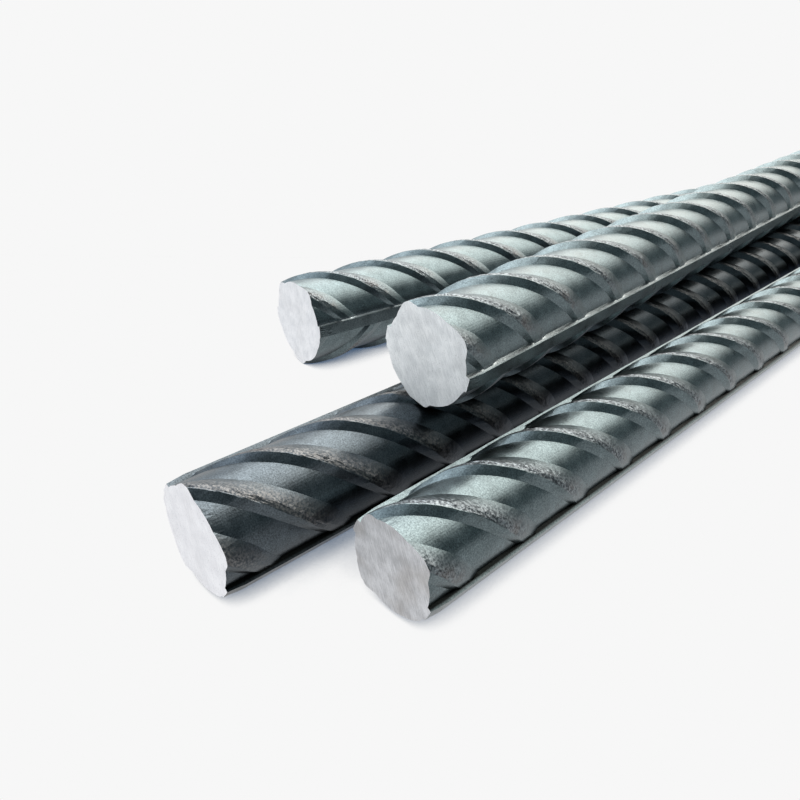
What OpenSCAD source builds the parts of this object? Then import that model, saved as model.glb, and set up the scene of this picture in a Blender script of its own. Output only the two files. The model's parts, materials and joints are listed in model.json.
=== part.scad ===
// Four ribbed reinforcing bars lying loose: three on the floor and one across two of them.
// Millimetres, +Y along the front bar away from the near sawn ends, +Z up.
// The origin is on the floor under the middle of the group.

/* [Bars] */
// Cut length of every bar
bar_length = 600; // [560:5:700]
// Nominal diameter of the front bar: a plain round of the same weight
front_d = 25; // [20:0.5:28]
// Nominal diameter of the left bar
left_d = 28; // [25:0.5:32]
// Nominal diameter of the top bar
top_d = 28; // [25:0.5:32]
// Nominal diameter of the back bar
back_d = 32; // [28:0.5:36]

/* [Longitudinal ribs] */
// Height of a longitudinal rib above the round
rib_h = 1; // [0.6:0.1:1.6]
// Width of a longitudinal rib at its crest
rib_w = 4.2; // [2:0.1:5]
// Widening of a longitudinal rib on each side, from crest to round
rib_flare = 0.6; // [0.2:0.1:1.2]
// Turn of the front bar about its own axis, from its ribs lying level
front_roll = -26; // [-45:1:45]
// Turn of the left bar about its own axis
left_roll = -37; // [-45:1:45]
// Turn of the top bar about its own axis
top_roll = -12; // [-45:1:45]
// Turn of the back bar about its own axis
back_roll = 4; // [-45:1:45]

/* [Layout] */
// Across from the front bar's near end to the left bar's near end
left_across = 36.9; // [34:0.1:42]
// How far the left bar's near end lies ahead of the front bar's
left_ahead = 27.2; // [10:0.1:50]
// Across from the front bar's near end to the back bar's near end
back_across = 122.7; // [110:0.1:140]
// How far the back bar's near end lies behind the front bar's
back_behind = 65.5; // [40:0.1:90]
// Where the top bar crosses the left bar, from the left bar's near end
cross_left = 201.6; // [180:0.1:240]
// Where the top bar crosses the back bar, from the back bar's far end
cross_back = 34; // [20:1:60]
// Length of the top bar that reaches past the left bar at its near end
top_overhang = 135.7; // [110:0.1:150]
// Gap left between bars where they meet side by side
side_gap = 0.6; // [0.1:0.1:3]
// Gap left where the top bar rests on a bar below it
seat_gap = 0.6; // [0.1:0.1:0.9]

/* [Hidden] */
mill_scale = "#59646a";
$fn = 96;

front_r = front_d / 2;
left_r = left_d / 2;
top_r = top_d / 2;
back_r = back_d / 2;

// Unit step in plan along a bar that is turned clockwise from +Y
function heading(yaw) = [sin(yaw), cos(yaw)];

// Reach of a section from its axis, in a direction at this angle from its ribs
function reach(r, angle) = max(r, (r + rib_h) * abs(cos(angle)) + rib_w / 2 * abs(sin(angle)));

// Reach of each bar to the side, and up or down
front_side = reach(front_r, front_roll);
left_side = reach(left_r, left_roll);
back_side = reach(back_r, back_roll);
top_side = reach(top_r, top_roll);
front_up = reach(front_r, 90 - front_roll);
left_up = reach(left_r, 90 - left_roll);
back_up = reach(back_r, 90 - back_roll);
top_up = reach(top_r, 90 - top_roll);

front_near = [0, 0];
left_near = [-left_across, -left_ahead];
back_near = [-back_across, back_behind];

// The left bar closes on the front bar, so that the two meet at the left bar's far end
left_yaw = asin((left_across - left_side - front_side - side_gap) / bar_length);
left_far = left_near + bar_length * heading(left_yaw);

// The back bar closes on the left bar, so that it meets the left bar's far end
to_left_far = left_far - back_near;
back_yaw = atan2(to_left_far.x, to_left_far.y)
    - asin((back_side + left_side + side_gap) / norm(to_left_far));

// In plan the top bar runs from its crossing of the left bar to its crossing of the back bar
on_left = left_near + cross_left * heading(left_yaw);
on_back = back_near + (bar_length - cross_back) * heading(back_yaw);
top_run = on_back - on_left;
top_yaw = atan2(top_run.x, top_run.y);
top_near = on_left - top_overhang * heading(top_yaw);

// Its slope makes it rest on both: height of its axis over each bar it crosses
left_seat = left_up + top_up + seat_gap;
back_seat = back_up + top_up + seat_gap;
sin_left = sin(left_yaw - top_yaw);
sin_back = sin(back_yaw - top_yaw);
function lift(seat, slope, sin_cross) = seat * sqrt(1 + pow(slope / sin_cross, 2));
function settle(slope, steps) = steps == 0 ? slope : settle(
    (back_up + lift(back_seat, slope, sin_back)
    - left_up - lift(left_seat, slope, sin_left)) / norm(top_run), steps - 1);
top_slope = settle(0, 12);
top_tilt = atan(top_slope);
top_z = left_up + lift(left_seat, top_slope, sin_left) - top_slope * top_overhang;

// Middle of the group in plan, from the corners of every bar
bars = [
    [front_near, 0, front_side],
    [left_near, left_yaw, left_side],
    [back_near, back_yaw, back_side],
    [top_near, top_yaw, top_side],
];
corners = [for (b = bars, end = [0, bar_length], s = [-1, 1])
    b[0] + end * heading(b[1]) + s * b[2] * [cos(b[1]), -sin(b[1])]];
corner_x = [for (c = corners) c.x];
corner_y = [for (c = corners) c.y];
middle = [(min(corner_x) + max(corner_x)) / 2, (min(corner_y) + max(corner_y)) / 2];

// Section of a bar: a round and two opposite longitudinal ribs
module bar_section(r) {
    circle(r);
    for (side = [0, 180])
        rotate(side)
            polygon([
                [r - rib_h, -rib_w / 2 - 2 * rib_flare],
                [r + rib_h, -rib_w / 2],
                [r + rib_h, rib_w / 2],
                [r - rib_h, rib_w / 2 + 2 * rib_flare],
            ]);
}

// A bar along +Y from its near sawn end, turned about its own axis
module bar(r, roll) {
    translate([0, bar_length, 0])
        rotate([90, 0, 0])
            linear_extrude(height = bar_length)
                rotate(roll)
                    bar_section(r);
}

// A bar in its place: near end, height of the axis there, heading and slope
module lay_bar(near, z, yaw, tilt, r, roll) {
    color(mill_scale)
        translate([near.x - middle.x, near.y - middle.y, z])
            rotate([tilt, 0, -yaw])
                bar(r, roll);
}

module front_bar() {
    lay_bar(front_near, front_up, 0, 0, front_r, front_roll);
}

module left_bar() {
    lay_bar(left_near, left_up, left_yaw, 0, left_r, left_roll);
}

module back_bar() {
    lay_bar(back_near, back_up, back_yaw, 0, back_r, back_roll);
}

module top_bar() {
    lay_bar(top_near, top_z, top_yaw, top_tilt, top_r, top_roll);
}

front_bar();
left_bar();
back_bar();
top_bar();
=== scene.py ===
# %% [markdown]
# A loose bundle of hot-rolled reinforcing bars lies on a pale floor: three bars on the floor and one
# across two of them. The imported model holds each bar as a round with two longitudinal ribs, at its real
# size and in its real place. Its rolled relief could be cut into that model, but thousands of small faces
# would only slow it down. So this lesson keeps every bar's place and makes its surface again: transverse
# ribs, mill scale and sawn ends.

# %% Load the frame
import functools
import json
import math

import bmesh
import bpy
import numpy as np
from mathutils import Matrix, Vector


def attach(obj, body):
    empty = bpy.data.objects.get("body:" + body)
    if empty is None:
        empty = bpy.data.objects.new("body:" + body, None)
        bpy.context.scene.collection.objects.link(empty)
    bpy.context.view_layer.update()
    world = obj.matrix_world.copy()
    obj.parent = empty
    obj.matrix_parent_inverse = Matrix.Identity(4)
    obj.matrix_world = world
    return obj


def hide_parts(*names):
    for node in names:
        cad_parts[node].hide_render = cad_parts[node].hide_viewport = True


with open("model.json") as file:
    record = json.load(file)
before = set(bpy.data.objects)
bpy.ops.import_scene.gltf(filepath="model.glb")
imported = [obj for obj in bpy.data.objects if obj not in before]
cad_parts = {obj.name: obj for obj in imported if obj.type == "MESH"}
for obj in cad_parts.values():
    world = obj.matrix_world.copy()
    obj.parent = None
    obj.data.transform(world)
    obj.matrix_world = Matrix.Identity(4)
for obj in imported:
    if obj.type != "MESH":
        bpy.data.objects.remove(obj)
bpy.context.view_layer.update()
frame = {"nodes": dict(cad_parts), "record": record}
mounts = {mount["name"]: mount for mount in frame["record"]["mounts"]}
MM = 0.001
print("frame nodes:", sorted(frame["nodes"]))

# %% [markdown]
# Two rolls squeeze the hot bar between them, and each cuts its half of the ribs, so a few numbers describe
# a bar. The core between the ribs is a little under the nominal size and the ribs stand a little over it.
# The pitch, the lead and the first rib are read from the photograph in millimetres along the bar. The lead
# is how far a rib runs along the bar while it crosses half the girth, and the roll is the bar's turn about
# its axis.

# %% Sizes of the bars
BAR_LENGTH = 600.0
BARS = {
    "front_bar": dict(core_d=24.2, roll=-26.0, pitch=22.3, lead=43.0, first_rib=10.4),
    "left_bar": dict(core_d=27.2, roll=-37.0, pitch=21.5, lead=50.0, first_rib=9.8),
    "back_bar": dict(core_d=31.0, roll=4.0, pitch=24.35, lead=54.0, first_rib=11.3),
    "top_bar": dict(core_d=27.2, roll=-12.0, pitch=22.1, lead=46.0, first_rib=7.0),
}
LONG_RIB_WIDTH = 4.2
LONG_RIB_HEIGHT = 1.4
LONG_RIB_FLARE = 0.35
RIB_HEIGHT = 1.7
RIB_FLANK = 2.9
RIB_WIDTH_AT_ENDS = 8.4
RIB_WIDTH_IN_MIDDLE = 11.4
for bar_name, bar in BARS.items():
    print(bar_name, "core", bar["core_d"], "mm, rib every", bar["pitch"], "mm")

# %% [markdown]
# Colours are written as the sRGB hex values that a picture editor shows. Shaders count in linear light, so
# one function turns a hex value into linear numbers. A second small function adds a node, sets it up,
# links what comes in and gives back what goes out. The trees below are built with it, so a line reads as
# one node.

# %% Helpers for colours and nodes
MATH = "ShaderNodeMath"
RANGE = "ShaderNodeMapRange"
NOISE = "ShaderNodeTexNoise"
MIX = "ShaderNodeMix"
ATTRIBUTE = "ShaderNodeAttribute"
VECTOR = "ShaderNodeVectorMath"
POINT = "ShaderNodeCombineXYZ"
# Sockets of a Mix node that mixes colours
SHARE = 0
FIRST = 6
SECOND = 7
OF_COLOURS = dict(output=2, data_type="RGBA")


def linear(hex_colour):
    """Linear red, green and blue and an alpha of 1 from an sRGB hex value."""
    parts = [int(hex_colour[i:i + 2], 16) / 255 for i in (1, 3, 5)]
    return tuple(p / 12.92 if p <= 0.04045 else ((p + 0.055) / 1.055) ** 2.4 for p in parts) + (1.0,)


def add(tree, kind, inputs=(), output=0, **settings):
    """Adds a node and returns one of its outputs. An input is a number, a colour or a socket to link."""
    node = tree.nodes.new(kind)
    for name, setting in settings.items():
        setattr(node, name, setting)
    for key, value in inputs.items() if isinstance(inputs, dict) else enumerate(inputs):
        if isinstance(value, bpy.types.NodeSocket):
            tree.links.new(value, node.inputs[key])
        else:
            node.inputs[key].default_value = value
    return node.outputs[output] if node.outputs else None


print("white in linear light:", linear("#ffffff"))

# %% [markdown]
# The photograph was taken from close by with the camera looking down by 29 degrees. The camera's place
# comes from a fit of the four sawn ends and the edges of the bars, and is written as a step from the front
# bar's near end. The floor is a plain pale sheet. The bars touch it with the crests of their ribs, which
# stand a little over the nominal round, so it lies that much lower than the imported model's floor.

# %% Camera and floor
PHOTO_SIDE = 800
FOCAL_LENGTH = 707.4
MIDDLE_ROW = 406.1
SENSOR = 36.0
CLIP_START = 0.005
CAMERA_FROM_FRONT_END = Vector((87.76, -80.50, 107.67)) * MM
CAMERA_AIM = Vector((-0.6329, 0.6017, -0.4873))
NOMINAL_FRONT_RADIUS = 12.5
FLOOR_SIDE = 60.0

camera_data = bpy.data.cameras.new("photo_camera")
camera_data.sensor_width = SENSOR
camera_data.lens = SENSOR * FOCAL_LENGTH / PHOTO_SIDE
camera_data.shift_y = (MIDDLE_ROW - PHOTO_SIDE / 2) / PHOTO_SIDE
camera_data.clip_start = CLIP_START
camera = bpy.data.objects.new("photo_camera", camera_data)
camera.location = Vector(mounts["front_bar_end"]["pos_m"]) + CAMERA_FROM_FRONT_END
camera.rotation_euler = CAMERA_AIM.to_track_quat("-Z", "Y").to_euler()
bpy.context.collection.objects.link(camera)
bpy.context.scene.camera = camera

floor_drop = (BARS["front_bar"]["core_d"] / 2 + RIB_HEIGHT - NOMINAL_FRONT_RADIUS) * MM
half = FLOOR_SIDE / 2
corners = [(-half, -half), (half, -half), (half, half), (-half, half)]
floor_mesh = bpy.data.meshes.new("floor")
floor_mesh.from_pydata([(x, y, -floor_drop) for x, y in corners], [], [(0, 1, 2, 3)])
floor = bpy.data.objects.new("floor", floor_mesh)
bpy.context.collection.objects.link(floor)
print("camera at", [round(c, 4) for c in camera.location], "floor drop", round(floor_drop, 5))

# %% [markdown]
# A rolled bar follows a rule all the way along, so Geometry Nodes make it. It could be a smooth tube with
# the ribs added to it, but then each rib would need a join. Here one flat grid is wrapped round the bar
# instead: its columns go round the girth and its rows go along it. Columns gather on the longitudinal ribs
# and rows gather on the transverse ribs, so that edges are crisp and the smooth valleys take few faces.

# %% Number the grid
HALF_COLUMNS = dict(crest_a=3, flank_a=2, side=48, flank_b=2, crest_b=3)
PITCH_ROWS = dict(near_flank=5, land=5, far_flank=6, valley=5, foot=1)
HALF_COUNT = sum(HALF_COLUMNS.values())
ROW_COUNT = sum(PITCH_ROWS.values())


def cuts(counts):
    """Where each stretch of a row of faces starts and ends, as shares of the whole."""
    total = sum(counts.values())
    edges = {}
    start = 0
    for name, count in counts.items():
        edges[name] = (start / total, (start + count) / total)
        start += count
    return edges


COLUMN_EDGES = cuts(HALF_COLUMNS)
ROW_EDGES = cuts(PITCH_ROWS)


def number_grid(put, size):
    """How far round each point of the grid is, which rib's pitch it is in, and where within that pitch."""
    index = put("GeometryNodeInputIndex")
    column = put(MATH, [put(MATH, [index, size["Rows"]], operation="DIVIDE")], operation="FLOOR")
    passed = put(MATH, [column, size["Rows"]], operation="MULTIPLY")
    row = put(MATH, [index, passed], operation="SUBTRACT")
    turn = put(MATH, [column, HALF_COUNT], operation="DIVIDE")
    lower = put(MATH, [column, HALF_COUNT + 0.5], operation="GREATER_THAN")
    pitches = put(MATH, [row, ROW_COUNT], operation="DIVIDE")
    pitch_number = put(MATH, [pitches], operation="FLOOR")
    return dict(
        turn=turn,
        lower=lower,
        around=put(MATH, [turn, lower], operation="SUBTRACT"),
        pitch_number=pitch_number,
        along=put(MATH, [pitches, pitch_number], operation="SUBTRACT"),
    )


print("faces round a bar:", 2 * HALF_COUNT, "and", ROW_COUNT, "for every rib")

# %% [markdown]
# Each half of the section goes from the middle of one longitudinal rib to the middle of the other: half a
# crest, a flank, the long round side, a flank and half a crest. Every stretch has its own angle, and a
# point's angle is the sum of what it has passed. The same sum is used again along the bar.

# %% Go round the girth
def walk(put, share, edges, lengths):
    """How far a point has gone at this share of a row of stretches, each with its own length."""
    gone = 0.0
    for name, (low, high) in edges.items():
        stretch = put(RANGE, [share, low, high, 0.0, lengths[name]])
        gone = put(MATH, [gone, stretch], operation="ADD")
    return gone


def go_round(put, size, grid):
    """Each point's angle round its half of the section, and its place on the plain core."""
    crest_radius = put(MATH, [size["Core Radius"], size["Long Rib Height"]], operation="ADD")
    half_width = put(MATH, [size["Long Rib Width"], 0.5], operation="MULTIPLY")
    crest = put(MATH, [half_width, crest_radius], operation="DIVIDE")
    flank = put(MATH, [size["Long Rib Flare"], size["Core Radius"]], operation="DIVIDE")
    long_rib = put(MATH, [crest, flank], operation="ADD")
    side = put(MATH, [long_rib, -2.0, math.pi], operation="MULTIPLY_ADD")
    lengths = dict(crest_a=crest, flank_a=flank, side=side, flank_b=flank, crest_b=crest)
    angle = walk(put, grid["around"], COLUMN_EDGES, lengths)
    other_way = put(MATH, [math.pi, angle], operation="SUBTRACT")
    rolled = put(MATH, [put(MATH, [size["Roll"]], operation="RADIANS"), angle], operation="ADD")
    turned = put(MATH, [grid["lower"], math.pi, rolled], operation="MULTIPLY_ADD")
    cosine = put(MATH, [turned], operation="COSINE")
    sine = put(MATH, [turned], operation="SINE")
    return dict(
        crest_radius=crest_radius,
        angle=angle,
        from_rib=put(MATH, [angle, other_way], operation="MINIMUM"),
        cosine=cosine,
        sine=sine,
        round_x=put(MATH, [size["Core Radius"], cosine], operation="MULTIPLY"),
        round_z=put(MATH, [size["Core Radius"], sine], operation="MULTIPLY"),
    )


print("stretches of a half section:", list(COLUMN_EDGES))

# %% [markdown]
# A transverse rib has a flank towards the near end, a flat land, and a longer flank behind. It is widest
# and highest half way between the longitudinal ribs and runs out beside them. The roll leaves the near
# flank a little ragged, which a noise on the core's surface gives.

# %% Lay out the transverse ribs
FOOT_WIDTH = 0.4
LAND_AT_ENDS = 3.2
LAND_IN_MIDDLE = 2.2
FLANK_SHARE_AT_ENDS = 0.65
# Angle from the nearest longitudinal rib, in radians, over which a rib swells from nothing to full
RUN_OUT = (0.15, 0.95)
RAGGED = 1.3
RAGGED_PER_MM = 0.45
RAGGED_DETAIL = 3.0
# Step through the noise from one rib to the next, so that no two ribs are ragged alike
RIB_TO_RIB = 9.7


def wander(put, size, where, per_mm, detail, amount):
    """A length that wanders about zero from place to place, by this amount from lowest to highest."""
    inputs = {"Vector": where, "W": size["Seed"], "Scale": per_mm, "Detail": detail}
    noise = put(NOISE, inputs, noise_dimensions="4D")
    return put(MATH, [put(MATH, [noise, 0.5], operation="SUBTRACT"), amount], operation="MULTIPLY")


def lay_out_ribs(put, size, grid, girth):
    """How full the rib is at this angle, and how far into its pitch the point lies in millimetres."""
    swell = put(RANGE, [girth["from_rib"], *RUN_OUT, 0.0, 1.0], interpolation_type="SMOOTHSTEP")
    width = put(RANGE, [swell, 0.0, 1.0, size["Rib Width At Ends"], size["Rib Width In Middle"]])
    rib_step = put(MATH, [grid["pitch_number"], RIB_TO_RIB], operation="MULTIPLY")
    on_core = put(POINT, [girth["round_x"], rib_step, girth["round_z"]])
    amount = put(MATH, [swell, RAGGED], operation="MULTIPLY")
    ragged = wander(put, size, on_core, RAGGED_PER_MM, RAGGED_DETAIL, amount)
    flank_share = put(RANGE, [swell, 0.0, 1.0, FLANK_SHARE_AT_ENDS, 1.0])
    near_flank = put(MATH, [size["Rib Flank"], flank_share, ragged], operation="MULTIPLY_ADD")
    land = put(RANGE, [swell, 0.0, 1.0, LAND_AT_ENDS, LAND_IN_MIDDLE])
    behind = put(MATH, [width, near_flank], operation="SUBTRACT")
    far_flank = put(MATH, [behind, land], operation="SUBTRACT")
    gap = put(MATH, [size["Pitch"], width], operation="SUBTRACT")
    valley = put(MATH, [gap, FOOT_WIDTH], operation="SUBTRACT")
    lengths = dict(near_flank=near_flank, land=land, far_flank=far_flank, valley=valley, foot=FOOT_WIDTH)
    return dict(swell=swell, within_pitch=walk(put, grid["along"], ROW_EDGES, lengths))


print("a rib takes", RIB_WIDTH_IN_MIDDLE, "mm of each pitch at its widest")

# %% [markdown]
# The ribs slant, so a point's place along the bar also goes with its angle. On the lower half they slant
# the other way and lie half a pitch further on, as the second roll cuts them. The crests of the
# longitudinal ribs take up that step, so the rows stay whole from one half to the other.

# %% Find the place along the bar
def find_place(put, size, grid, girth, within_pitch):
    """Each point's place along the bar, in millimetres from its near end."""
    half_turn = put(MATH, [girth["angle"], math.pi], operation="DIVIDE")
    fall = put(MATH, [size["Lead"], half_turn], operation="MULTIPLY")
    climb = put(MATH, [size["Lead"], fall], operation="SUBTRACT")
    slant = put(RANGE, [grid["lower"], 0.0, 1.0, fall, climb])
    step_a = put(RANGE, [grid["around"], *COLUMN_EDGES["crest_a"], 0.5, 0.0])
    step_b = put(RANGE, [grid["around"], *COLUMN_EDGES["crest_b"], 0.0, 0.5])
    upper_step = put(MATH, [step_a, step_b], operation="ADD")
    lower_step = put(MATH, [1.0, upper_step], operation="SUBTRACT")
    step = put(RANGE, [grid["lower"], 0.0, 1.0, upper_step, lower_step])
    ordinal = put(MATH, [grid["pitch_number"], size["Pitches Before"]], operation="SUBTRACT")
    ordinal = put(MATH, [step, 0.5, ordinal], operation="MULTIPLY_ADD")
    start = put(MATH, [ordinal, size["Pitch"], size["First Rib"]], operation="MULTIPLY_ADD")
    unslanted = put(MATH, [start, within_pitch], operation="ADD")
    return put(MATH, [unslanted, slant], operation="SUBTRACT")


print("a rib runs", BARS["front_bar"]["lead"], "mm along the front bar over half its girth")

# %% [markdown]
# A longitudinal rib has a flat crest and two steep flanks. It fills where the two rolls meet, so it runs
# the whole length of the bar, and handling wears it down at the very ends.

# %% Raise the longitudinal ribs
END_WEAR = 0.7
WEAR_LENGTH = 5.0


def raise_long_ribs(put, size, grid, girth, place):
    """The longitudinal ribs' height over the core, and a share that is 1 on a crest and 0 beside the rib."""
    near_span = [place, 0.0, WEAR_LENGTH, END_WEAR, 1.0]
    far_span = [place, BAR_LENGTH - WEAR_LENGTH, BAR_LENGTH, 1.0, END_WEAR]
    near_end = put(RANGE, near_span, interpolation_type="SMOOTHSTEP")
    far_end = put(RANGE, far_span, interpolation_type="SMOOTHSTEP")
    worn = put(MATH, [near_end, far_end], operation="MULTIPLY")
    rib_a = put(RANGE, [grid["around"], *COLUMN_EDGES["flank_a"], 1.0, 0.0])
    rib_b = put(RANGE, [grid["around"], *COLUMN_EDGES["flank_b"], 0.0, 1.0])
    share = put(MATH, [rib_a, rib_b], operation="MAXIMUM")
    cosine = put(MATH, [girth["from_rib"]], operation="COSINE")
    flat_crest = put(MATH, [girth["crest_radius"], cosine], operation="DIVIDE")
    full = put(MATH, [flat_crest, size["Core Radius"]], operation="SUBTRACT")
    height = put(MATH, [put(MATH, [share, full], operation="MULTIPLY"), worn], operation="MULTIPLY")
    return dict(share=share, height=height)


print("longitudinal ribs stand", LONG_RIB_HEIGHT, "mm over the core")

# %% [markdown]
# The transverse ribs rise over the core in the same way. Broken scale makes their lands rough, the saw
# leaves a small burr at both ends of the bar, and nothing that was rolled hot is quite even, so noise is
# added for each.

# %% Raise the transverse ribs
HEIGHT_SHARE_AT_ENDS = 0.4
# Angle from the nearest longitudinal rib, in radians, over which the rough land fades in
LAND_RUN_OUT = (0.3, 0.75)
# Share of a pitch over which the rough land begins
LAND_EDGE = 0.02
ROUGH = 0.65
ROUGH_PER_MM = 1.0
ROUGH_DETAIL = 2.0
BURR = 0.5
BURR_PER_MM = 0.9
BURR_DETAIL = 2.0
BURR_LENGTH = 1.6
UNEVEN = 0.045
UNEVEN_PER_MM = 0.12
UNEVEN_DETAIL = 1.0


def mask_lands(put, grid, girth):
    """1 on the land of each transverse rib, fading over its far flank and towards the longitudinal ribs."""
    land_start, land_end = ROW_EDGES["land"]
    begins = put(RANGE, [grid["along"], land_start, land_start + LAND_EDGE, 0.0, 1.0])
    fades = put(RANGE, [grid["along"], land_end, ROW_EDGES["far_flank"][1], 1.0, 0.0])
    runs_out = put(RANGE, [girth["from_rib"], *LAND_RUN_OUT, 0.0, 1.0])
    return put(MATH, [put(MATH, [begins, fades], operation="MULTIPLY"), runs_out], operation="MULTIPLY")


def raise_ribs(put, size, grid, swell, land_mask, spot):
    """The transverse ribs' height over the core, with the roughness of their lands."""
    near_slope = put(RANGE, [grid["along"], *ROW_EDGES["near_flank"], 0.0, 1.0])
    far_slope = put(RANGE, [grid["along"], *ROW_EDGES["far_flank"], 1.0, 0.0])
    on_rib = put(MATH, [near_slope, far_slope], operation="MULTIPLY")
    height_share = put(RANGE, [swell, 0.0, 1.0, HEIGHT_SHARE_AT_ENDS, 1.0])
    rise = put(MATH, [size["Rib Height"], height_share], operation="MULTIPLY")
    amount = put(MATH, [land_mask, ROUGH], operation="MULTIPLY")
    rough = wander(put, size, spot, ROUGH_PER_MM, ROUGH_DETAIL, amount)
    return put(MATH, [on_rib, rise, rough], operation="MULTIPLY_ADD")


def leave_burr(put, size, place, spot):
    """The burr at the sawn ends and the faint unevenness everywhere, as a height to add."""
    near_end = put(RANGE, [place, 0.0, BURR_LENGTH, BURR, 0.0])
    far_end = put(RANGE, [place, BAR_LENGTH - BURR_LENGTH, BAR_LENGTH, 0.0, BURR])
    amount = put(MATH, [near_end, far_end], operation="ADD")
    burr = wander(put, size, spot, BURR_PER_MM, BURR_DETAIL, amount)
    uneven = wander(put, size, spot, UNEVEN_PER_MM, UNEVEN_DETAIL, UNEVEN)
    return put(MATH, [burr, uneven], operation="ADD")


print("transverse ribs stand", RIB_HEIGHT, "mm over the core")

# %% [markdown]
# The tree puts these steps together. It also keeps four masks on the mesh: the lands and the places where
# the ribs run out, where the scale looks different, and the upper flank and the crest of the right-hand
# longitudinal rib, where the flank takes its own colour and the crest takes painted shade. The last column
# lies on the first, so the two are merged and the skin is closed. Edges that bend sharply become creases.

# %% Build the tree for a ribbed bar
# Angle from the nearest longitudinal rib, in radians, over which the rib-end mask fades out
RIB_END = (0.5, 1.0)
CREST_SHARE = 0.9
# Share of half the columns on either side of the foot of the flank that counts as flank
FLANK_REACH = 0.012
MERGE_DISTANCE = 0.005
CREASE_ANGLE = 38.0
SIZES = [
    "Core Radius", "Roll", "Pitch", "Lead", "First Rib", "Pitches Before", "Rib Height", "Rib Flank",
    "Rib Width At Ends", "Rib Width In Middle", "Long Rib Width", "Long Rib Height", "Long Rib Flare", "Seed",
]


def build_bar_tree(material):
    """A Geometry Nodes tree that makes one bar along +Y, in millimetres, from its named sizes."""
    tree = bpy.data.node_groups.new("ribbed_bar", "GeometryNodeTree")
    tree.interface.new_socket("Geometry", in_out="OUTPUT", socket_type="NodeSocketGeometry")
    tree.interface.new_socket("Rows", in_out="INPUT", socket_type="NodeSocketInt")
    for name in SIZES:
        tree.interface.new_socket(name, in_out="INPUT", socket_type="NodeSocketFloat")
    put = functools.partial(add, tree)
    size = tree.nodes.new("NodeGroupInput").outputs

    grid = number_grid(put, size)
    girth = go_round(put, size, grid)
    ribs = lay_out_ribs(put, size, grid, girth)
    place = find_place(put, size, grid, girth, ribs["within_pitch"])
    spot = put(POINT, [girth["round_x"], place, girth["round_z"]])
    land_mask = mask_lands(put, grid, girth)
    long_ribs = raise_long_ribs(put, size, grid, girth, place)
    rib_height = raise_ribs(put, size, grid, ribs["swell"], land_mask, spot)
    height = put(MATH, [rib_height, long_ribs["height"]], operation="MAXIMUM")
    height = put(MATH, [height, leave_burr(put, size, place, spot)], operation="ADD")
    radius = put(MATH, [size["Core Radius"], height], operation="ADD")
    x = put(MATH, [radius, girth["cosine"]], operation="MULTIPLY")
    z = put(MATH, [radius, girth["sine"]], operation="MULTIPLY")

    flank_start, flank_end = COLUMN_EDGES["flank_a"]
    flank_foot = (flank_start + 3 * flank_end) / 4
    on_crest = put(MATH, [long_ribs["share"], CREST_SHARE], operation="GREATER_THAN")
    on_right = put(MATH, [girth["cosine"], 0.0], operation="GREATER_THAN")
    masks = dict(
        rib_land=land_mask,
        rib_end=put(RANGE, [girth["from_rib"], *RIB_END, 1.0, 0.0]),
        flank=put(MATH, [grid["turn"], flank_foot, FLANK_REACH], operation="COMPARE"),
        crest=put(MATH, [on_crest, on_right], operation="MULTIPLY"),
    )
    skin = put("GeometryNodeMeshGrid", {"Vertices X": 2 * HALF_COUNT + 1, "Vertices Y": size["Rows"]})
    for name, mask in masks.items():
        skin = put("GeometryNodeStoreNamedAttribute", {"Geometry": skin, "Name": name, "Value": mask})
    skin = put("GeometryNodeSetPosition", {"Geometry": skin, "Position": put(POINT, [x, place, z])})
    skin = put("GeometryNodeMergeByDistance", {"Geometry": skin, "Distance": MERGE_DISTANCE})
    bend = put("GeometryNodeInputMeshEdgeAngle")
    crease = put(MATH, [bend, math.radians(CREASE_ANGLE)], operation="GREATER_THAN")
    inputs = {"Geometry": skin, "Selection": crease, "Shade Smooth": False}
    skin = put("GeometryNodeSetShadeSmooth", inputs, domain="EDGE")
    skin = put("GeometryNodeRealizeInstances", {"Geometry": skin})
    skin = put("GeometryNodeSetMaterial", {"Geometry": skin, "Material": material})
    put("NodeGroupOutput", {"Geometry": skin})
    return tree


print("named sizes of the tree:", len(SIZES))

# %% [markdown]
# Hot-rolled steel comes out of the mill with a skin of scale: a hard, dark blue-grey oxide with a dull
# metallic shine. A flat grey would look like paint, so its tone wanders in blotches and is gritty, drawn
# at a third of a millimetre because finer grit wouldn't show. On the lands of the ribs it is broken and
# rough, and a little brown rust sits where the ribs run out. Painted shade darkens the colour where other
# bars and the floor close it in, and on the crest of the right-hand longitudinal rib. The upper flank of
# that rib is coloured near black on two bars and pale on the other two. The left bar's tones are darker,
# partly as its own darker scale and partly as painted shade.

# %% Mill scale
GRIT = 0.35 * MM
BLOTCH = 4.0 * MM
SPECKLE = 0.6 * MM
FINE_DETAIL = 2.0
BROAD_DETAIL = 3.0
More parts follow.
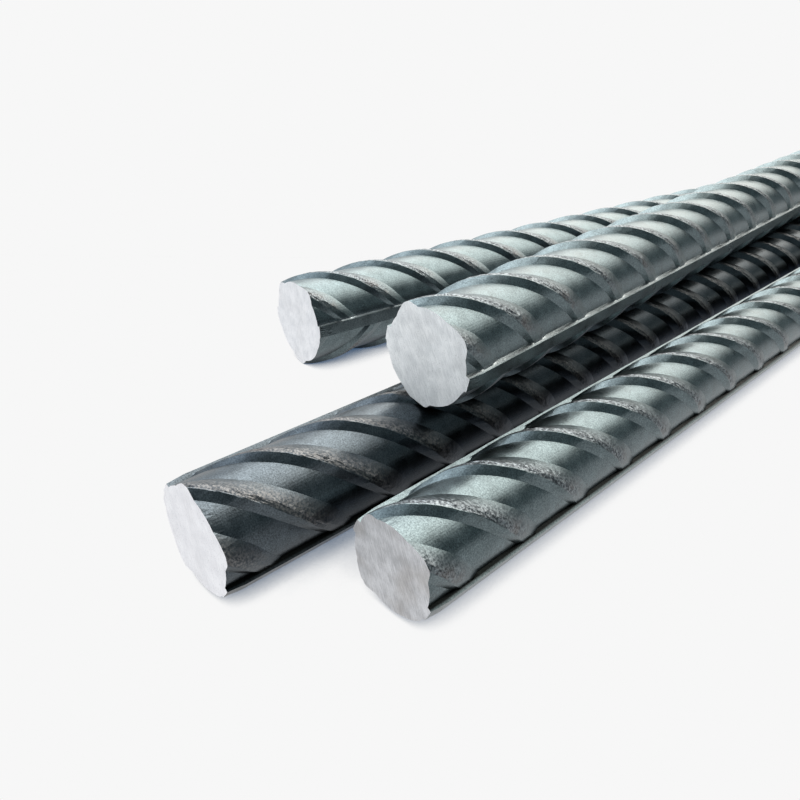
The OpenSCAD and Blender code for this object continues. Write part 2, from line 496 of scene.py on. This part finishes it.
# Painted shade: how far it reaches and how dark the colour goes where the surroundings close in
PAINTED_SHADE_SAMPLES = 8
PAINTED_SHADE_REACH = 25.0 * MM
PAINTED_SHADE_FULL = 0.15
PAINTED_SHADE_TONE = 0.25
NOISE_SPAN = (0.3, 0.7)
GRIT_TONES = (0.6, 1.35)
BLOTCH_TONES = (0.85, 1.2)
BROKEN_DARK = "#3f4347"
BROKEN_SPAN = (0.4, 0.62)
RUST = "#5f524b"
RUST_SPAN = (0.45, 0.6)
RUST_SHARE = 0.6
SCALE_ROUGHNESS = (0.27, 0.36)
BROKEN_ROUGHER = 0.15
SCALE_BUMP = 0.35
SCALE_RELIEF = 0.06 * MM
SCALE = {
    # The flank colour covers the upper flank of the right-hand longitudinal rib: near black on the front and
    # left bars, pale on the back and top bars
    "front_bar": dict(scale="#5d686b", broken="#80878b", flank="#101212", crest_painted_shade=0.75, painted_shade_span=0.5),
    # The left bar's scale and broken tones are darker, partly as its own darker scale and partly as painted
    # shade
    "left_bar": dict(scale="#4a5156", broken="#6c6c6c", flank="#101212", crest_painted_shade=0.5, painted_shade_span=0.75),
    "back_bar": dict(scale="#5d686b", broken="#80878b", flank="#969da0", crest_painted_shade=0.8, painted_shade_span=0.5),
    "top_bar": dict(scale="#5d686b", broken="#80878b", flank="#8b9294", crest_painted_shade=0.9, painted_shade_span=0.5),
}


def mill_scale(name, scale, broken, flank, crest_painted_shade, painted_shade_span):
    """Oxide skin of hot-rolled steel: dark, gritty and half glossy, so it mirrors bright things softly."""
    material = bpy.data.materials.new(name)
    material.use_nodes = True
    material.node_tree.nodes.clear()
    put = functools.partial(add, material.node_tree)
    where = put("ShaderNodeTexCoord", output="Object")
    grit = put(NOISE, {"Vector": where, "Scale": 1 / GRIT, "Detail": FINE_DETAIL})
    blotch = put(NOISE, {"Vector": where, "Scale": 1 / BLOTCH, "Detail": BROAD_DETAIL})
    speckle = put(NOISE, {"Vector": where, "Scale": 1 / SPECKLE, "Detail": BROAD_DETAIL})
    land = put(ATTRIBUTE, output="Fac", attribute_name="rib_land")
    rib_end = put(ATTRIBUTE, output="Fac", attribute_name="rib_end")
    on_flank = put(ATTRIBUTE, output="Fac", attribute_name="flank")
    on_crest = put(ATTRIBUTE, output="Fac", attribute_name="crest")

    blotch_tone = put(RANGE, [blotch, *NOISE_SPAN, *BLOTCH_TONES])
    grit_tone = put(RANGE, [grit, *NOISE_SPAN, *GRIT_TONES])
    # Painted shade: the crest of the right-hand longitudinal rib is darkened by a set factor for each bar
    painted_crest_shading = put(RANGE, [on_crest, 0.0, 1.0, 1.0, crest_painted_shade])
    tone = put(MATH, [blotch_tone, grit_tone], operation="MULTIPLY")
    tone = put(MATH, [tone, painted_crest_shading], operation="MULTIPLY")
    whole = put(MIX, {SHARE: on_flank, FIRST: linear(scale), SECOND: linear(flank)}, **OF_COLOURS)
    whole = put(MIX, {SHARE: 1.0, FIRST: whole, SECOND: tone}, blend_type="MULTIPLY", **OF_COLOURS)
    spots = put(RANGE, [speckle, *BROKEN_SPAN, 0.0, 1.0])
    rough = put(MIX, {SHARE: spots, FIRST: linear(BROKEN_DARK), SECOND: linear(broken)}, **OF_COLOURS)
    colour = put(MIX, {SHARE: land, FIRST: whole, SECOND: rough}, **OF_COLOURS)
    rust = put(RANGE, [blotch, *RUST_SPAN, 0.0, RUST_SHARE])
    rust = put(MATH, [rust, put(MATH, [land, rib_end], operation="MULTIPLY")], operation="MULTIPLY")
    colour = put(MIX, {SHARE: rust, FIRST: colour, SECOND: linear(RUST)}, **OF_COLOURS)
    # Painted shade: the colour goes darker where other bars and the floor close the surface in
    inputs = {"Distance": PAINTED_SHADE_REACH}
    openness = put("ShaderNodeAmbientOcclusion", inputs, output="AO", samples=PAINTED_SHADE_SAMPLES)
    painted_shade = put(RANGE, [openness, PAINTED_SHADE_FULL, painted_shade_span, PAINTED_SHADE_TONE, 1.0])
    colour = put(MIX, {SHARE: 1.0, FIRST: colour, SECOND: painted_shade}, blend_type="MULTIPLY", **OF_COLOURS)

    gloss = put(RANGE, [blotch, *NOISE_SPAN, *SCALE_ROUGHNESS])
    roughness = put(MATH, [land, BROKEN_ROUGHER, gloss], operation="MULTIPLY_ADD")
    bump = put("ShaderNodeBump", {"Height": grit, "Strength": SCALE_BUMP, "Distance": SCALE_RELIEF})
    inputs = {"Base Color": colour, "Metallic": 1.0, "Roughness": roughness, "Normal": bump}
    put("ShaderNodeOutputMaterial", {"Surface": put("ShaderNodeBsdfPrincipled", inputs)})
    return material


scale_of = {name: mill_scale("mill_scale_" + name, **look) for name, look in SCALE.items()}
print("mill scale for", sorted(scale_of))

# %% [markdown]
# The ends were cut with a saw, so they show bare pale steel. The teeth leave fine scratches that all run
# one way, and steel that is finely scratched scatters light widely, so it looks almost evenly pale. A
# noise that is stretched one way gives the scratches. The front bar's end has gone duller and has a faint
# brown stain.

# %% Sawn steel
SAW_MARK = 0.18 * MM
SAW_STRETCH = 14.0
STAIN_SIZE = 9.0 * MM
PIT = 0.3 * MM
SAWN_SPAN = (0.78, 1.22)
STAIN = "#8b8178"
STAIN_SPAN = (0.48, 0.66)
PIT_TONE = "#7a797c"
PIT_SPAN = (0.6, 0.72)
PIT_SHARE = 0.35
SAWN_METALLIC = 0.35
SAWN_ROUGHNESS = 0.55
SAWN_BUMP = 0.15
SAWN_RELIEF = 0.05 * MM
SAWN = {
    "front_bar": dict(pale="#cccccf", dull="#a6a6a9", stain_share=0.3, saw_angle=-20.0),
    "left_bar": dict(pale="#eeedf0", dull="#dcdbdf", stain_share=0.05, saw_angle=-15.0),
    "back_bar": dict(pale="#eaeaed", dull="#d5d6da", stain_share=0.05, saw_angle=10.0),
    "top_bar": dict(pale="#eceef0", dull="#d0d3d6", stain_share=0.05, saw_angle=-25.0),
}


def sawn_steel(name, pale, dull, stain_share, saw_angle):
    """Bare steel from the saw: pale and evenly lit, with fine scratches, small pits and a trace of stain."""
    material = bpy.data.materials.new(name)
    material.use_nodes = True
    material.node_tree.nodes.clear()
    put = functools.partial(add, material.node_tree)
    where = put("ShaderNodeTexCoord", output="Object")
    turn = (0.0, math.radians(saw_angle), 0.0)
    stretch = (1.0, 1.0, SAW_STRETCH)
    inputs = {"Vector": where, "Rotation": turn, "Scale": stretch}
    stretched = put("ShaderNodeMapping", inputs, vector_type="TEXTURE")
    marks = put(NOISE, {"Vector": stretched, "Scale": 1 / SAW_MARK, "Detail": FINE_DETAIL})
    clouds = put(NOISE, {"Vector": where, "Scale": 1 / BLOTCH, "Detail": BROAD_DETAIL})
    stains = put(NOISE, {"Vector": where, "Scale": 1 / STAIN_SIZE, "Detail": BROAD_DETAIL})
    pits = put(NOISE, {"Vector": where, "Scale": 1 / PIT, "Detail": FINE_DETAIL})
    share = put(RANGE, [put(MATH, [marks, clouds], operation="ADD"), *SAWN_SPAN, 0.0, 1.0])
    colour = put(MIX, {SHARE: share, FIRST: linear(dull), SECOND: linear(pale)}, **OF_COLOURS)
    stained = put(RANGE, [stains, *STAIN_SPAN, 0.0, stain_share])
    colour = put(MIX, {SHARE: stained, FIRST: colour, SECOND: linear(STAIN)}, **OF_COLOURS)
    pitted = put(RANGE, [pits, *PIT_SPAN, 0.0, PIT_SHARE])
    colour = put(MIX, {SHARE: pitted, FIRST: colour, SECOND: linear(PIT_TONE)}, **OF_COLOURS)
    bump = put("ShaderNodeBump", {"Height": marks, "Strength": SAWN_BUMP, "Distance": SAWN_RELIEF})
    inputs = {"Base Color": colour, "Metallic": SAWN_METALLIC, "Roughness": SAWN_ROUGHNESS, "Normal": bump}
    put("ShaderNodeOutputMaterial", {"Surface": put("ShaderNodeBsdfPrincipled", inputs)})
    return material


sawn_of = {name: sawn_steel("sawn_steel_" + name, **look) for name, look in SAWN.items()}
print("sawn ends for", sorted(sawn_of))

# %% [markdown]
# Each bar is made by the tree along its own axis in millimetres and turned into a plain mesh. The grid is
# longer than the bar, because its rows are slanted, and it is cut square at both ends, as the saw does.
# Ends could be modelled into the grid, but the cut gives the true outline where a rib happens to be sawn
# through. The cut leaves an open rim, which is filled with one face of sawn steel.

# %% Roll and saw a bar
CUT_TOLERANCE = 1e-4
RIM_TOLERANCE = 1e-2
SEED_STEP = 100.0


def rolled_mesh(name, bar):
    """Runs the tree with a bar's sizes and returns the plain mesh."""
    tree = build_bar_tree(scale_of[name])
    before = math.ceil((bar["first_rib"] + bar["pitch"]) / bar["pitch"]) + 1
    after = math.ceil((BAR_LENGTH + bar["lead"]) / bar["pitch"]) + 1
    sizes = {
        "Rows": (before + after) * ROW_COUNT + 1,
        "Core Radius": bar["core_d"] / 2,
        "Roll": bar["roll"],
        "Pitch": bar["pitch"],
        "Lead": bar["lead"],
        "First Rib": bar["first_rib"],
        "Pitches Before": float(before),
        "Rib Height": RIB_HEIGHT,
        "Rib Flank": RIB_FLANK,
        "Rib Width At Ends": RIB_WIDTH_AT_ENDS,
        "Rib Width In Middle": RIB_WIDTH_IN_MIDDLE,
        "Long Rib Width": LONG_RIB_WIDTH,
        "Long Rib Height": LONG_RIB_HEIGHT,
        "Long Rib Flare": LONG_RIB_FLARE,
        "Seed": SEED_STEP * list(BARS).index(name),
    }
    maker = bpy.data.objects.new(name + "_maker", bpy.data.meshes.new(name + "_maker"))
    bpy.context.collection.objects.link(maker)
    modifier = maker.modifiers.new("ribbed_bar", "NODES")
    modifier.node_group = tree
    for item in tree.interface.items_tree:
        if item.in_out == "INPUT":
            modifier[item.identifier] = sizes[item.name]
    evaluated = maker.evaluated_get(bpy.context.evaluated_depsgraph_get())
    mesh = bpy.data.meshes.new_from_object(evaluated)
    maker.modifiers.clear()
    bpy.data.objects.remove(maker)
    return mesh


def saw_ends(mesh):
    """Cuts the mesh square at both ends and closes each cut with a face that takes the second material."""
    shape = bmesh.new()
    shape.from_mesh(mesh)
    for place, outward in ((0.0, -1.0), (BAR_LENGTH, 1.0)):
        everything = shape.verts[:] + shape.edges[:] + shape.faces[:]
        bmesh.ops.bisect_plane(shape, geom=everything, dist=CUT_TOLERANCE, plane_co=(0, place, 0),
                               plane_no=(0, outward, 0), clear_outer=True)
        rim = [e for e in shape.edges if e.is_boundary and abs(e.verts[0].co.y - place) < RIM_TOLERANCE]
        made = bmesh.ops.holes_fill(shape, edges=rim, sides=0)
        for edge in rim:
            edge.smooth = False
        for face in made["faces"]:
            face.material_index = 1
            face.smooth = False
    bmesh.ops.recalc_face_normals(shape, faces=shape.faces[:])
    shape.to_mesh(mesh)
    shape.free()


print("every bar is sawn to", BAR_LENGTH, "mm")

# %% [markdown]
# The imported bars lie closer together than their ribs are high, so where two bars bear on each other their
# crests would pass through one another. The upper bar could be lifted, but then it would leave its packed
# place and its place in the photograph. So a crest is pressed flat there, half way between the two cores,
# where the bars hide it.

# %% Press crests flat where bars meet
BEARING_GAP = 0.1 * MM
PRESS_STEPS = 6
PAST_END = 3.0 * MM


def over_core(points, name):
    """Each point's height over a bar's core, the way outward, and whether it lies beside the bar."""
    mount = mounts[name + "_end"]
    end_facing = np.array(mount["axis"])
    outward = points - np.array(mount["pos_m"])
    along = -outward @ end_facing
    outward = outward + np.outer(along, end_facing)
    distance = np.linalg.norm(outward, axis=1)
    height = distance - BARS[name]["core_d"] / 2 * MM
    beside = (along > -PAST_END) & (along < BAR_LENGTH * MM + PAST_END)
    return height, outward / distance[:, None], beside


def press_flat(mesh, name):
    """Moves what stands nearer to another bar's core than to its own inward. Returns the deepest move."""
    points = np.empty(3 * len(mesh.vertices), np.float32)
    mesh.vertices.foreach_get("co", points)
    points = points.reshape(-1, 3).astype(float)
    start = points.copy()
    for other in BARS:
        if other == name:
            continue
        for _ in range(PRESS_STEPS):
            height, outward, _ = over_core(points, name)
            room, _, beside = over_core(points, other)
            excess = np.where(beside, np.maximum(height + BEARING_GAP - room, 0.0), 0.0)
            points = points - outward * excess[:, None] / 2
    mesh.vertices.foreach_set("co", points.astype(np.float32).ravel())
    mesh.update()
    return np.linalg.norm(points - start, axis=1).max()


print("crests of two bars stay", round(BEARING_GAP / MM, 2), "mm apart")

# %% [markdown]
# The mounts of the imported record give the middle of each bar's near end and the way that end faces, so
# each mesh is set where its plain bar lies, and stands for it.

# %% Set the bars in place
def set_in_place(mesh, mount):
    """Turns a mesh from millimetres along +Y to the bar's place in metres."""
    along = -Vector(mount["axis"])
    right = along.cross(Vector((0, 0, 1))).normalized()
    up = right.cross(along)
    turn = Matrix((right, along, up)).transposed().to_4x4()
    mesh.transform(Matrix.Translation(mount["pos_m"]) @ turn @ Matrix.Scale(MM, 4))


for name, bar in BARS.items():
    mesh = rolled_mesh(name, bar)
    mesh.materials.clear()
    mesh.materials.append(scale_of[name])
    mesh.materials.append(sawn_of[name])
    mesh.polygons.foreach_set("material_index", [0] * len(mesh.polygons))
    saw_ends(mesh)
    set_in_place(mesh, mounts[name + "_end"])
    pressed = press_flat(mesh, name)
    piece = bpy.data.objects.new("ribbed_" + name, mesh)
    bpy.context.collection.objects.link(piece)
    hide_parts(name)
    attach(piece, "root")
    print(piece.name, sum(len(p.vertices) - 2 for p in mesh.polygons), "triangles")
    print("crests pressed by", round(pressed / MM, 2), "mm at most")

# %% [markdown]
# The photograph is a catalogue picture: the floor is one even white and only the narrow strip beside each
# bar goes dark. A white floor under lamps would need strong ones, which the steel would mirror. So the
# sheet glows by itself, as if it were lit from below, and its tone goes down where the bars close it in.

# %% Back-lit sheet
SHEET = "#f7f7f7"
SHADE = "#3a5470"
SHADE_REACH = 22.0 * MM
SHADE_SPAN = (0.08, 0.45)
SHADE_SAMPLES = 16

floor_look = bpy.data.materials.new("back_lit_sheet")
floor_look.use_nodes = True
floor_look.node_tree.nodes.clear()
put = functools.partial(add, floor_look.node_tree)
openness = put("ShaderNodeAmbientOcclusion", {"Distance": SHADE_REACH}, output="AO", samples=SHADE_SAMPLES)
openness = put(RANGE, [openness, *SHADE_SPAN, 0.0, 1.0])
tone = put(MIX, {SHARE: openness, FIRST: linear(SHADE), SECOND: linear(SHEET)}, **OF_COLOURS)
put("ShaderNodeOutputMaterial", {"Surface": put("ShaderNodeEmission", {"Color": tone})})
floor_mesh.materials.append(floor_look)
print("shade beside the bars reaches", round(SHADE_REACH / MM), "mm")

# %% [markdown]
# Rolled steel shows mostly what it mirrors, so the lights are large soft patches in a dim room. The
# strongest stands behind the bars and draws the bright stripe along them, and the dim room to the right
# draws the dark flanks of the ribs. Two cool patches on the left and overhead show in the other ends of
# those flanks, one low on the left opens up the shadow side, and one in front lights the sawn ends.

# %% Room and lights
ROOM = "#7a898c"
LIGHTS = [
    dict(towards=(-0.17, 0.60, 0.78), inner=14.0, outer=46.0, colour="#fff8ef", strength=4.9),
    dict(towards=(-0.80, 0.60, 0.08), inner=10.0, outer=40.0, colour="#ffffff", strength=1.0),
    dict(towards=(-0.72, 0.05, 0.68), inner=8.0, outer=42.0, colour="#edf2fb", strength=1.3),
    dict(towards=(-0.25, 0.0, 0.97), inner=5.0, outer=40.0, colour="#e0e8f6", strength=1.4),
    dict(towards=(-0.20, -1.0, 0.15), inner=20.0, outer=60.0, colour="#ffffff", strength=1.5),
]

world = bpy.data.worlds.new("soft_studio")
bpy.context.scene.world = world
world.use_nodes = True
world.node_tree.nodes.clear()
put = functools.partial(add, world.node_tree)
direction = put("ShaderNodeTexCoord", output="Generated")
glow = linear(ROOM)[:3]
for light in LIGHTS:
    aim = Vector(light["towards"]).normalized()
    facing = put(VECTOR, [direction, aim], output="Value", operation="DOT_PRODUCT")
    outer, inner = (math.cos(math.radians(light[key])) for key in ("outer", "inner"))
    share = put(RANGE, [facing, outer, inner, 0.0, light["strength"]], interpolation_type="SMOOTHSTEP")
    lit = put(VECTOR, {0: linear(light["colour"])[:3], "Scale": share}, operation="SCALE")
    glow = put(VECTOR, [glow, lit], operation="ADD")
room = put("ShaderNodeBackground", {"Color": glow})
backdrop = put("ShaderNodeBackground", {"Color": linear(SHEET)})
seen = put("ShaderNodeLightPath", output="Is Camera Ray")
put("ShaderNodeOutputWorld", {"Surface": put("ShaderNodeMixShader", [seen, room, backdrop])})
bpy.context.scene.view_settings.view_transform = "Standard"
bpy.context.scene.view_settings.look = "None"
print("lights:", len(LIGHTS))
